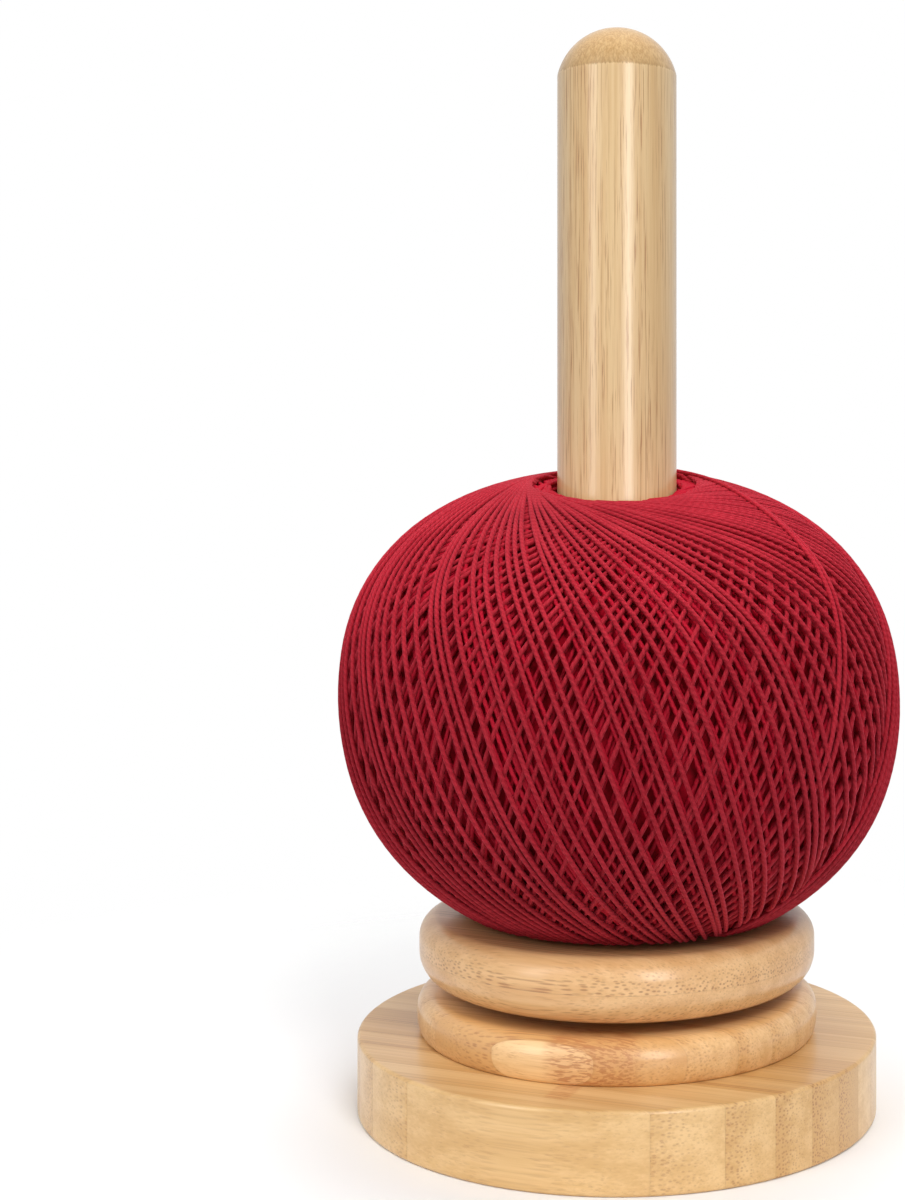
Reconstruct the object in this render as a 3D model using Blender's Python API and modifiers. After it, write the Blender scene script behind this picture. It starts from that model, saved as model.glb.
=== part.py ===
"""Rotating yarn ball holder: laminated bamboo base, axle peg, turntable, spindle and the thread ball on it.

Lengths are in metres and +Z is up. The origin is the centre of the base board's underside, on the axis.
Run it with: blender --background --python part.py
"""

import math

import bmesh
import bpy
import numpy as np
from mathutils import Matrix, Vector
from mathutils.kdtree import KDTree

MM = 0.001

# Clearances shared by all pieces
FIT_GAP = 0.3 * MM  # between a piece and what it seats in, or rests on
GLUE_LINE = 0.1 * MM  # between two staves of a board
CUT_OVERRUN = 2.0 * MM  # how far a cutter runs past what it cuts
MERGE_DISTANCE = 0.02 * MM

# Bamboo staves, glued edge to edge into the board that the base and the lower disc are turned from
STAVE_WIDTH = 7.5 * MM
LEAST_STAVE_WIDTH = 1.0 * MM
GRAIN_ANGLE = math.radians(-20.7)  # from +X

# Base board
BASE_RADIUS = 50.0 * MM
BASE_THICKNESS = 14.6 * MM
BASE_EDGE_ROUND = 0.8 * MM
BASE_STAVE_OFFSET = 0.5 * MM  # from the axis to the nearest joint, across the grain
SOCKET_DEPTH = 8.0 * MM  # the blind hole that takes the peg's foot

# Lower disc, glued on the base board
LOWER_DISC_RADIUS = 38.6 * MM
LOWER_DISC_THICKNESS = 7.6 * MM
LOWER_DISC_TOP_ROUND = 3.3 * MM
LOWER_DISC_BOTTOM_ROUND = 1.2 * MM
LOWER_DISC_STAVE_OFFSET = 0.15 * MM  # from the axis to the nearest joint, across the grain

# Axle peg, which stands in the base and carries the turning parts on its domed tip
PEG_RADIUS = 6.2 * MM
PEG_EXPOSED_LENGTH = 51.0 * MM
PEG_DOME_HEIGHT = 5.0 * MM
PEG_FOOT_CHAMFER = 0.6 * MM
PEG_RUNNING_CLEARANCE = 0.35 * MM

# Turntable disc, of two plies
DISC_GAP = 2.0 * MM  # open gap between the two round-edged discs
TURNTABLE_RADIUS = 38.2 * MM
LOWER_PLY_THICKNESS = 6.0 * MM
UPPER_PLY_THICKNESS = 6.0 * MM
TURNTABLE_TOP_ROUND = 3.8 * MM
TURNTABLE_BOTTOM_ROUND = 5.5 * MM

# Spindle: a tenon glued in the turntable, a shoulder on it, and a blind bore over the peg
TENON_WALL = 2.4 * MM
TENON_RECESS = 2.4 * MM  # from the turntable's underside up to the tenon's end
SHOULDER_WIDTH = 2.65 * MM
SPINDLE_LENGTH = 171.5 * MM  # from the turntable's top to the dome's tip
SPINDLE_DOME_HEIGHT = 9.2 * MM

# Thread ball: a plain core with its outer layer wound on it
BALL_RADIUS = 54.5 * MM
BALL_HEIGHT = 85.0 * MM
BALL_FULLNESS_SHARE = 0.04  # how far the shoulders swell past an ellipse
BALL_BORE_CLEARANCE = 1.3 * MM  # between the spindle and the ball's bore
MOUTH_WIDTH = 5.1 * MM  # from the bore out to the crest that the thread runs over
MOUTH_DEPTH = 4.0 * MM
THREAD_DIAMETER = 0.9 * MM
THREAD_GAP = 0.5 * MM  # least gap that the winding keeps to itself
WINDING_TURNS = 20
WINDING_TILT = math.radians(27.0)  # lean of the thread from upright where it crosses the equator
CREST_LEVEL = 2.0  # thread pitches that the layers rise where they go over the crest
SIDE_LEVEL = 1.1  # thread pitches that the upper layer keeps above the lower one down the sides
SAMPLES_PER_QUARTER = 6
GAP_SAMPLE_SPACING = 0.25 * MM
GAP_REACH_SHARE = 3.0  # thread diameters within which two stretches are measured
SAME_STRETCH_SHARE = 6.0  # thread diameters along the thread that count as one stretch

# Facets of the turned shapes
DISC_STEPS = 64
SPINDLE_STEPS = 40
PEG_STEPS = 32
BALL_STEPS = 36
ROUND_SEGMENTS = 4
EDGE_SEGMENTS = 2
DOME_SEGMENTS = 7
BALL_SEGMENTS = 12
MOUTH_SEGMENTS = 3
TUBE_RESOLUTION = 1
SHARP_ANGLE = math.radians(30.0)  # edges bent more than this are not smoothed
CREST_SOLVE_STEPS = 8

# Heights and radii that follow from the sizes above
SOCKET_RADIUS = PEG_RADIUS + FIT_GAP
LOWER_DISC_BOTTOM = BASE_THICKNESS + FIT_GAP
LOWER_DISC_TOP = LOWER_DISC_BOTTOM + LOWER_DISC_THICKNESS
PEG_TOP = LOWER_DISC_TOP + PEG_EXPOSED_LENGTH
TURNTABLE_BOTTOM = LOWER_DISC_TOP + DISC_GAP
UPPER_PLY_BOTTOM = TURNTABLE_BOTTOM + LOWER_PLY_THICKNESS + GLUE_LINE
TURNTABLE_TOP = UPPER_PLY_BOTTOM + UPPER_PLY_THICKNESS
SPINDLE_BORE_RADIUS = PEG_RADIUS + PEG_RUNNING_CLEARANCE
TENON_RADIUS = SPINDLE_BORE_RADIUS + TENON_WALL
SPINDLE_RADIUS = TENON_RADIUS + SHOULDER_WIDTH
BALL_BOTTOM = TURNTABLE_TOP + FIT_GAP
BALL_BORE_RADIUS = SPINDLE_RADIUS + BALL_BORE_CLEARANCE
CREST_RADIUS = BALL_BORE_RADIUS + MOUTH_WIDTH
THREAD_PITCH = THREAD_DIAMETER + THREAD_GAP
CREST_RISE = (CREST_LEVEL - SIDE_LEVEL) * THREAD_PITCH

# Colours, as linear red, green and blue
BASE_COLOUR = (0.68, 0.44, 0.22)
DISC_COLOUR = (0.69, 0.42, 0.19)
PEG_COLOUR = (0.71, 0.45, 0.24)
SPINDLE_COLOUR = (0.70, 0.48, 0.25)
THREAD_COLOUR = (0.36, 0.010, 0.022)
CORE_COLOUR = (0.20, 0.004, 0.010)
STAVE_TONE_STEP = 0.06
BAMBOO_ROUGHNESS = 0.42
THREAD_ROUGHNESS = 0.85


def clear_scene():
    """Removes every object of the scene that the script starts in."""
    for obj in list(bpy.data.objects):
        bpy.data.objects.remove(obj, do_unlink=True)


def new_collection(name):
    """A collection of that name, linked to the scene."""
    collection = bpy.data.collections.new(name)
    bpy.context.scene.collection.children.link(collection)
    return collection


def new_material(name, colour, roughness):
    """A non-metallic Principled material."""
    material = bpy.data.materials.new(name)
    material.use_nodes = True
    shader = material.node_tree.nodes["Principled BSDF"]
    shader.inputs["Base Color"].default_value = (*colour, 1.0)
    shader.inputs["Roughness"].default_value = roughness
    shader.inputs["Metallic"].default_value = 0.0
    return material


def toned(colour, number):
    """The colour, a little lighter or darker from one numbered stave to the next."""
    tone = 1.0 + STAVE_TONE_STEP * ((number * 2) % 5 - 2)
    return tuple(channel * tone for channel in colour)


def body_empty(name, collection):
    """An empty on the turning axis, which the pieces of one body are parented to."""
    empty = bpy.data.objects.new(name, None)
    collection.objects.link(empty)
    return empty


def place(obj, parent, collection, material):
    """Links a finished piece, gives it its material and hangs it on its body."""
    collection.objects.link(obj)
    obj.parent = parent
    obj.data.materials.clear()
    obj.data.materials.append(material)
    return obj


def evaluated_mesh(obj):
    """The object's mesh with its modifiers applied."""
    graph = bpy.context.evaluated_depsgraph_get()
    return bpy.data.meshes.new_from_object(obj.evaluated_get(graph), depsgraph=graph)


def rounding(centre, radius, start, end, segments):
    """Points (radius, height) of an arc about a centre, from one angle to another, in degrees."""
    angles = (math.radians(start + (end - start) * i / segments) for i in range(segments + 1))
    return [(centre[0] + radius * math.cos(a), centre[1] + radius * math.sin(a)) for a in angles]


def dome(radius, height, top):
    """Points (radius, height) of a spherical cap, from its tip on the axis down to its rim."""
    sphere = (radius**2 + height**2) / (2 * height)
    reach = math.degrees(math.asin((sphere - height) / sphere))
    points = rounding((0.0, top - sphere), sphere, 90.0, reach, DOME_SEGMENTS)
    return [(0.0, top), *points[1:]]


def top_edge(radius, top, edge_round, segments=ROUND_SEGMENTS):
    """Points of a disc's rounded top edge, from its top face down to its side."""
    return rounding((radius - edge_round, top - edge_round), edge_round, 90.0, 0.0, segments)


def bottom_edge(radius, bottom, edge_round, segments=ROUND_SEGMENTS):
    """Points of a disc's rounded bottom edge, from its side down to its bottom face."""
    return rounding((radius - edge_round, bottom + edge_round), edge_round, 0.0, -90.0, segments)


def turned(name, outline, steps, closed=False):
    """A turned solid: the outline of (radius, height) points, swept round Z by a Screw modifier."""
    mesh = bpy.data.meshes.new(name)
    edges = [(i, i + 1) for i in range(len(outline) - 1)]
    if closed:
        edges.append((len(outline) - 1, 0))
    mesh.from_pydata([(radius, 0.0, height) for radius, height in outline], edges, [])
    obj = bpy.data.objects.new(name, mesh)
    screw = obj.modifiers.new("Turn", "SCREW")
    screw.axis = "Z"
    screw.steps = steps
    screw.render_steps = steps
    screw.use_merge_vertices = True
    screw.merge_threshold = MERGE_DISTANCE
    screw.use_smooth_shade = True
    return obj


def turned_piece(name, outline, steps, parent, collection, material, closed=False):
    """A turned solid that is one piece of the object, with its flat faces kept sharp."""
    obj = place(turned(name, outline, steps, closed), parent, collection, material)
    bpy.context.view_layer.update()
    mesh = evaluated_mesh(obj)
    obj.modifiers.clear()
    obj.data = mesh
    mesh.shade_smooth()
    mesh.set_sharp_from_angle(angle=SHARP_ANGLE)
    return obj


def slab(name, low, high, reach, bottom, top, collection):
    """A box cutter across the board, from one joint to the next, turned to the board's grain."""
    mesh = bpy.data.meshes.new(name)
    shape = bmesh.new()
    bmesh.ops.create_cube(shape, size=1.0)
    size = Vector((2 * reach, high - low, top - bottom))
    centre = Vector((0.0, (high + low) / 2, (top + bottom) / 2))
    turn = Matrix.Rotation(GRAIN_ANGLE, 4, "Z")
    bmesh.ops.transform(shape, matrix=turn @ Matrix.LocRotScale(centre, None, size), verts=shape.verts)
    shape.to_mesh(mesh)
    shape.free()
    obj = bpy.data.objects.new(name, mesh)
    obj.hide_render = True
    obj.display_type = "WIRE"
    collection.objects.link(obj)
    return obj


def loose_parts(mesh, along):
    """The separate bodies of a mesh, as meshes in order along a direction."""
    shape = bmesh.new()
    shape.from_mesh(mesh)
    shape.verts.ensure_lookup_table()
    bodies, seen = [], set()
    for seed in shape.verts:
        if seed.index in seen:
            continue
        body, front = {seed.index}, [seed]
        while front:
            for edge in front.pop().link_edges:
                for vert in edge.verts:
                    if vert.index not in body:
                        body.add(vert.index)
                        front.append(vert)
        seen |= body
        bodies.append(body)
    shape.free()
    parts = []
    for body in bodies:
        part = bmesh.new()
        part.from_mesh(mesh)
        part.verts.ensure_lookup_table()
        bmesh.ops.delete(part, geom=[v for v in part.verts if v.index not in body], context="VERTS")
        middle = sum((v.co for v in part.verts), Vector()) / len(part.verts)
        result = bpy.data.meshes.new(mesh.name)
        part.to_mesh(result)
        part.free()
        parts.append((middle.dot(along), result))
    return [part for _, part in sorted(parts, key=lambda item: item[0])]


def seams(radius, offset):
    """Distances from the axis, across the grain, where the board's staves meet, with both rims."""
    inside = radius - LEAST_STAVE_WIDTH
    first = math.ceil((-inside - offset) / STAVE_WIDTH)
    last = math.floor((inside - offset) / STAVE_WIDTH)
    rim = radius + CUT_OVERRUN
    return [-rim, *(offset + STAVE_WIDTH * n for n in range(first, last + 1)), rim]


def laminated_disc(
    name, outline, closed, radius, bottom, thickness, offset, colour, parent, parts, cutters
):
    """A turned disc as its bamboo staves. A bore wider than a stave leaves that stave in two ends."""
    blank = turned(f"{name}_blank", outline, DISC_STEPS, closed)
    cutters.objects.link(blank)
    blank.hide_render = True
    blank.display_type = "WIRE"
    edges = seams(radius, offset)
    along = Vector((math.cos(GRAIN_ANGLE), math.sin(GRAIN_ANGLE), 0.0))
    bpy.context.view_layer.update()
    whole = evaluated_mesh(blank)
    for number, (low, high) in enumerate(zip(edges, edges[1:]), 1):
        cutter = slab(
            f"{name}_slab_{number:02d}",
            low + GLUE_LINE / 2,
            high - GLUE_LINE / 2,
            radius + CUT_OVERRUN,
            bottom - CUT_OVERRUN,
            bottom + thickness + CUT_OVERRUN,
            cutters,
        )
        stave = bpy.data.objects.new(f"{name}_stave", whole.copy())
        cutters.objects.link(stave)
        saw = stave.modifiers.new("Saw", "BOOLEAN")
        saw.operation = "INTERSECT"
        saw.object = cutter
        bpy.context.view_layer.update()
        pieces = loose_parts(evaluated_mesh(stave), along)
        bpy.data.objects.remove(stave)
        material = new_material(f"{name}_bamboo_{number:02d}", toned(colour, number), BAMBOO_ROUGHNESS)
        ends = ("_left", "_right") if len(pieces) == 2 else [""]
        for piece, end in zip(pieces, ends):
            piece.shade_smooth()
            piece.set_sharp_from_angle(angle=SHARP_ANGLE)
            place(bpy.data.objects.new(f"{name}_stave_{number:02d}{end}", piece), parent, parts, material)


def make_base_board(parent, parts, cutters):
    """The thick base board, with the peg's blind socket in its top."""
    socket_end = BASE_THICKNESS - SOCKET_DEPTH
    outline = [
        (0.0, socket_end),
        (SOCKET_RADIUS, socket_end),
        (SOCKET_RADIUS, BASE_THICKNESS),
        *top_edge(BASE_RADIUS, BASE_THICKNESS, BASE_EDGE_ROUND, EDGE_SEGMENTS),
        *bottom_edge(BASE_RADIUS, 0.0, BASE_EDGE_ROUND, EDGE_SEGMENTS),
        (0.0, 0.0),
    ]
    laminated_disc(
        "base", outline, False, BASE_RADIUS, 0.0, BASE_THICKNESS, BASE_STAVE_OFFSET,
        BASE_COLOUR, parent, parts, cutters,
    )


def make_lower_disc(parent, parts, cutters):
    """The round-edged disc glued on the base board, bored through for the peg."""
    outline = [
        (SOCKET_RADIUS, LOWER_DISC_TOP),
        *top_edge(LOWER_DISC_RADIUS, LOWER_DISC_TOP, LOWER_DISC_TOP_ROUND),
        *bottom_edge(LOWER_DISC_RADIUS, LOWER_DISC_BOTTOM, LOWER_DISC_BOTTOM_ROUND, EDGE_SEGMENTS),
        (SOCKET_RADIUS, LOWER_DISC_BOTTOM),
    ]
    laminated_disc(
        "lower_disc", outline, True, LOWER_DISC_RADIUS, LOWER_DISC_BOTTOM, LOWER_DISC_THICKNESS,
        LOWER_DISC_STAVE_OFFSET, DISC_COLOUR, parent, parts, cutters,
    )


def make_turntable(parent, parts):
    """The two plies of the disc that turns, bored through for the spindle's tenon."""
    bore = TENON_RADIUS + FIT_GAP
    seam = TURNTABLE_BOTTOM + LOWER_PLY_THICKNESS
    lower = [
        (bore, seam),
        (TURNTABLE_RADIUS, seam),
        *bottom_edge(TURNTABLE_RADIUS, TURNTABLE_BOTTOM, TURNTABLE_BOTTOM_ROUND),
        (bore, TURNTABLE_BOTTOM),
    ]
    upper = [
        (bore, TURNTABLE_TOP),
        *top_edge(TURNTABLE_RADIUS, TURNTABLE_TOP, TURNTABLE_TOP_ROUND),
        (TURNTABLE_RADIUS, UPPER_PLY_BOTTOM),
        (bore, UPPER_PLY_BOTTOM),
    ]
    for number, (name, outline) in enumerate((("lower", lower), ("upper", upper))):
        material = new_material(f"turntable_bamboo_{name}", toned(DISC_COLOUR, number), BAMBOO_ROUGHNESS)
        turned_piece(f"turntable_{name}_ply", outline, DISC_STEPS, parent, parts, material, closed=True)


def make_axle_peg(parent, parts):
    """The fixed peg: chamfered foot in the socket, domed tip under the spindle's bore."""
    foot = BASE_THICKNESS - SOCKET_DEPTH + FIT_GAP
    outline = [
        *dome(PEG_RADIUS, PEG_DOME_HEIGHT, PEG_TOP),
        (PEG_RADIUS, foot + PEG_FOOT_CHAMFER),
        (PEG_RADIUS - PEG_FOOT_CHAMFER, foot),
        (0.0, foot),
    ]
    material = new_material("peg_bamboo", PEG_COLOUR, BAMBOO_ROUGHNESS)
    turned_piece("axle_peg", outline, PEG_STEPS, parent, parts, material)


def make_spindle(parent, parts):
    """The tall dowel that the ball stands on, bored from below so that it turns on the peg's tip."""
    tip = TURNTABLE_TOP + SPINDLE_LENGTH
    shoulder = TURNTABLE_TOP + FIT_GAP
    tenon_end = TURNTABLE_BOTTOM + TENON_RECESS
    bore_end = PEG_TOP + FIT_GAP
    outline = [
        *dome(SPINDLE_RADIUS, SPINDLE_DOME_HEIGHT, tip),
        (SPINDLE_RADIUS, shoulder),
        (TENON_RADIUS, shoulder),
        (TENON_RADIUS, tenon_end),
        (SPINDLE_BORE_RADIUS, tenon_end),
        (SPINDLE_BORE_RADIUS, bore_end),
        (0.0, bore_end),
    ]
    material = new_material("spindle_bamboo", SPINDLE_COLOUR, BAMBOO_ROUGHNESS)
    turned_piece("spindle", outline, SPINDLE_STEPS, parent, parts, material)


class BallForm:
    """The ball's outline: an ellipse with swollen shoulders, cut off at the crest of each mouth."""

    def __init__(self):
        self.crest_angle = math.acos(CREST_RADIUS / BALL_RADIUS)
        for _ in range(CREST_SOLVE_STEPS):
            swelling = self.swelling(self.crest_angle)
            self.crest_angle = math.acos(CREST_RADIUS / (BALL_RADIUS * swelling))
        self.centre = BALL_BOTTOM + BALL_HEIGHT / 2
        rise = self.swelling(self.crest_angle) * math.sin(self.crest_angle)
        self.half_height = (BALL_HEIGHT / 2 - CREST_RISE) / rise

    def swelling(self, angle):
        """How far the outline stands outside its ellipse at this angle above the equator."""
        return 1.0 + BALL_FULLNESS_SHARE * math.sin(2 * angle) ** 2

    def point(self, angle, inset=0.0):
        """(radius, height) on the outline, or on one that lies inset inside it."""
        swelling = self.swelling(angle)
        radius = (BALL_RADIUS - inset) * swelling * math.cos(angle)
        height = self.centre + (self.half_height - inset) * swelling * math.sin(angle)
        return radius, height


def quarter_shares():
    """Angles from a crest to the equator, as shares of a quarter turn, closest together at the crest.

    The first step is the spacing of neighbouring turns along the crest, where each climbs over the last.
    """
    crest_step = 4.0 * math.sin(WINDING_TILT) / WINDING_TURNS
    power = math.log(crest_step) / math.log(1 / SAMPLES_PER_QUARTER)
    return [(i / SAMPLES_PER_QUARTER) ** power for i in range(SAMPLES_PER_QUARTER + 1)]


def strand_level(phase):
    """How many thread pitches a strand lies above the lowest strands, at its phase from the top crest.

    It goes down the ball's side in the upper layer and comes up in the lower one. At each crest it
    changes layer in two steps, so that every turn clears the turn beside it.
    """
    step = quarter_shares()[1] / 4
    phases = [0.0, step, 4 * step, 0.5 - 4 * step, 0.5 - step, 0.5, 0.5 + step, 1.0 - step, 1.0]
    middle = CREST_LEVEL / 2
    levels = [middle, CREST_LEVEL, SIDE_LEVEL, SIDE_LEVEL, CREST_LEVEL, middle, 0.0, 0.0, middle]
    return float(np.interp(phase % 1.0, phases, levels))


def winding_route(form, inset):
    """Centreline of the wound thread: tilted turns that each go round a little further than the last."""
    shares = quarter_shares()
    half = [s / 4 for s in shares] + [0.5 - s / 4 for s in reversed(shares[1:-1])]
    phases = half + [0.5 + p for p in half]
    top_latitude = math.pi / 2 - WINDING_TILT
    route = []
    for turn in range(WINDING_TURNS):
        for phase in phases:
            azimuth = 2 * math.pi * (turn + phase) / WINDING_TURNS
            sweep = 2 * math.pi * phase
            over = Vector(
                (math.sin(WINDING_TILT) * math.cos(azimuth), math.sin(WINDING_TILT) * math.sin(azimuth),
                 math.cos(WINDING_TILT))
            )
            aside = Vector((-math.sin(azimuth), math.cos(azimuth), 0.0))
            way = over * math.cos(sweep) + aside * math.sin(sweep)
            latitude = math.asin(way.z) * form.crest_angle / top_latitude
            bearing = math.atan2(way.y, way.x)
            radius, height = form.point(latitude, inset - strand_level(phase) * THREAD_PITCH)
            route.append(Vector((radius * math.cos(bearing), radius * math.sin(bearing), height)))
    return route[SAMPLES_PER_QUARTER:-1]


def least_gap(route, thickness):
    """The least gap between two stretches of a tube, measured on closely spaced points of its centreline."""
    points = []
    for start, end in zip(route, route[1:]):
        steps = math.ceil((end - start).length / GAP_SAMPLE_SPACING)
        points.extend(start.lerp(end, i / steps) for i in range(steps))
    tree = KDTree(len(points))
    for number, point in enumerate(points):
        tree.insert(point, number)
    tree.balance()
    apart = SAME_STRETCH_SHARE * thickness / GAP_SAMPLE_SPACING
    least = GAP_REACH_SHARE * thickness
    for number, point in enumerate(points):
        for _, other, distance in tree.find_range(point, GAP_REACH_SHARE * thickness):
            if abs(other - number) > apart:
                least = min(least, distance)
    return least - thickness


def chord_sag():
    """How far the longest straight step of the winding cuts inside the ball."""
    shares = quarter_shares()
    widest = max(b - a for a, b in zip(shares, shares[1:])) * math.pi / 2
    return BALL_RADIUS * (1 - math.cos(widest / 2))


def make_thread_ball(parent, parts):
    """The ball: its core, bored for the spindle, and the outer layer of thread as one unbroken tube."""
    form = BallForm()
    thread_inset = THREAD_DIAMETER / 2 + SIDE_LEVEL * THREAD_PITCH
    core_inset = thread_inset + chord_sag() + THREAD_DIAMETER / 2 + FIT_GAP
    angles = [form.crest_angle * (1 - i / BALL_SEGMENTS) for i in range(2 * BALL_SEGMENTS + 1)]
    side = [form.point(angle, core_inset) for angle in angles]
    mouth = []
    crest_radius, crest_height = side[0]
    for i in range(MOUTH_SEGMENTS, 0, -1):
        angle = math.pi / 2 * i / MOUTH_SEGMENTS
        radius = crest_radius - (crest_radius - BALL_BORE_RADIUS) * math.sin(angle)
        mouth.append((radius, crest_height - MOUTH_DEPTH * (1 - math.cos(angle))))
    floor = [(radius, 2 * form.centre - height) for radius, height in reversed(mouth)]
    core_material = new_material("thread_core", CORE_COLOUR, THREAD_ROUGHNESS)
    turned_piece("yarn_core", [*mouth, *side, *floor], BALL_STEPS, parent, parts, core_material, closed=True)

    route = winding_route(form, thread_inset)
    curve = bpy.data.curves.new("yarn_winding", "CURVE")
    curve.dimensions = "3D"
    curve.bevel_depth = THREAD_DIAMETER / 2
    curve.bevel_resolution = TUBE_RESOLUTION
    curve.use_fill_caps = True
    spline = curve.splines.new("POLY")
    spline.points.add(len(route) - 1)
    for knot, point in zip(spline.points, route):
        knot.co = (*point, 1.0)
    thread_material = new_material("thread", THREAD_COLOUR, THREAD_ROUGHNESS)
    place(bpy.data.objects.new("yarn_winding", curve), parent, parts, thread_material)
    print(f"yarn_winding: least gap to itself {least_gap(route, THREAD_DIAMETER) / MM:.2f} mm")


def main():
    """Builds the base, the turning spinner and the ball on it."""
    clear_scene()
    parts = new_collection("yarn_ball_holder")
    cutters = new_collection("cutters")
    base = body_empty("base_body", parts)
    spinner = body_empty("spinner_body", parts)
    ball = body_empty("yarn_ball_body", parts)
    spinner.parent = base
    ball.parent = spinner
    make_base_board(base, parts, cutters)
    make_lower_disc(base, parts, cutters)
    make_axle_peg(base, parts)
    make_turntable(spinner, parts)
    make_spindle(spinner, parts)
    make_thread_ball(ball, parts)


main()
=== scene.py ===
"""Dresses the yarn ball holder: lacquered bamboo boards, peg and spindle, and the crimson thread ball.

Lengths are in metres and +Z is up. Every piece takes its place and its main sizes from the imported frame, and
the photograph looks along +Y with +X to the right.
"""

from __future__ import annotations

import logging
import math
from dataclasses import dataclass, field, replace
from enum import Enum
from typing import Union

import bmesh
import bpy
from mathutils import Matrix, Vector


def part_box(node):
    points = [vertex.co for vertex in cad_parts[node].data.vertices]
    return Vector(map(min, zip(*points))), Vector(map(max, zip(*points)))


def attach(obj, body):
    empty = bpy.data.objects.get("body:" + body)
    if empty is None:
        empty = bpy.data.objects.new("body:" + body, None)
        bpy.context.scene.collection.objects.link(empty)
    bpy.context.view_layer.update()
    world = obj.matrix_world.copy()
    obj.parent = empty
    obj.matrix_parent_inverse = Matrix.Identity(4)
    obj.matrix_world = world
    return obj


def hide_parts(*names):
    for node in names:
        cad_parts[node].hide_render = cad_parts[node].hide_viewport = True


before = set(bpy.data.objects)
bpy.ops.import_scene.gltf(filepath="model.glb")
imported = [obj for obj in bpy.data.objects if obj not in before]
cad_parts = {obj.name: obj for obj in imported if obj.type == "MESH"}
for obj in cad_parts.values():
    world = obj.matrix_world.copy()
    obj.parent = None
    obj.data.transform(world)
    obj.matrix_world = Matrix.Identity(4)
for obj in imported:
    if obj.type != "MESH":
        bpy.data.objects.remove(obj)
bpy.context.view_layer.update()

MM = 0.001
LOG = logging.getLogger("yarn_ball_holder")

Colour = tuple[float, float, float]
Point = tuple[float, float, float]
Pair = tuple[float, float]
Outline = list[Pair]
Shape = bmesh.types.BMesh
Piece = bpy.types.Object
Material = bpy.types.Material
Number = Union[float, int, "Term"]
Inputs = dict[str | int, object]

# How the staves lie in the base board and the lower disc
STAVE_WIDTH = 7.5 * MM
LEAST_STAVE_WIDTH = 1.0 * MM
GRAIN_ANGLE = math.radians(-20.7)
SAW_GAP = 0.02 * MM
SEAT_GAP = 0.3 * MM

# How finely the turned pieces are faceted
DISC_STEPS = 288
EDGE_STEPS = 12
FLAT_RING = 0.25 * MM
MERGE_DISTANCE = 0.001 * MM
SHARP_ANGLE = math.radians(28.0)

# The kind of a node tree's input for each type of value
SOCKETS = {int: "NodeSocketInt", float: "NodeSocketFloat", Material: "NodeSocketMaterial"}


class Term:
    """What comes out of a node. A number among these sums and multiplies like a plain one."""

    def __init__(self, sketch: Sketch, socket: bpy.types.NodeSocket) -> None:
        """Keeps the socket, and the sketch that adds the nodes of each sum."""
        self.sketch = sketch
        self.socket = socket

    def __add__(self, other: Number) -> Term:
        """This number plus another."""
        return self.apply("ADD", other)

    def __sub__(self, other: Number) -> Term:
        """This number less another."""
        return self.apply("SUBTRACT", other)

    def __rsub__(self, other: Number) -> Term:
        """Another number less this one."""
        return self.sketch.result("ShaderNodeMath", {0: other, 1: self}, operation="SUBTRACT")

    def __mul__(self, other: Number) -> Term:
        """This number times another."""
        return self.apply("MULTIPLY", other)

    def __truediv__(self, other: Number) -> Term:
        """This number over another."""
        return self.apply("DIVIDE", other)

    __radd__ = __add__
    __rmul__ = __mul__

    def apply(self, operation: str, *others: Number) -> Term:
        """What one of Blender's math operations, such as SINE, makes of this number and any others."""
        inputs = dict(enumerate((self, *others)))
        return self.sketch.result("ShaderNodeMath", inputs, operation=operation)

    def ramp(self, start: Number, end: Number, low: Number = 0.0, high: Number = 1.0) -> Term:
        """A smooth step of this number, from low where it is at start to high where it is at end."""
        inputs = dict(enumerate((self, start, end, low, high)))
        return self.sketch.result("ShaderNodeMapRange", inputs, interpolation_type="SMOOTHSTEP")

    def noise(self) -> Term:
        """Soft noise along a line, from about -0.5 to 0.5, at the place on it that this number gives."""
        inputs = {"W": self, "Scale": 1.0, "Detail": 1.0}
        return self.sketch.result("ShaderNodeTexNoise", inputs, noise_dimensions="1D") - 0.5


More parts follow.
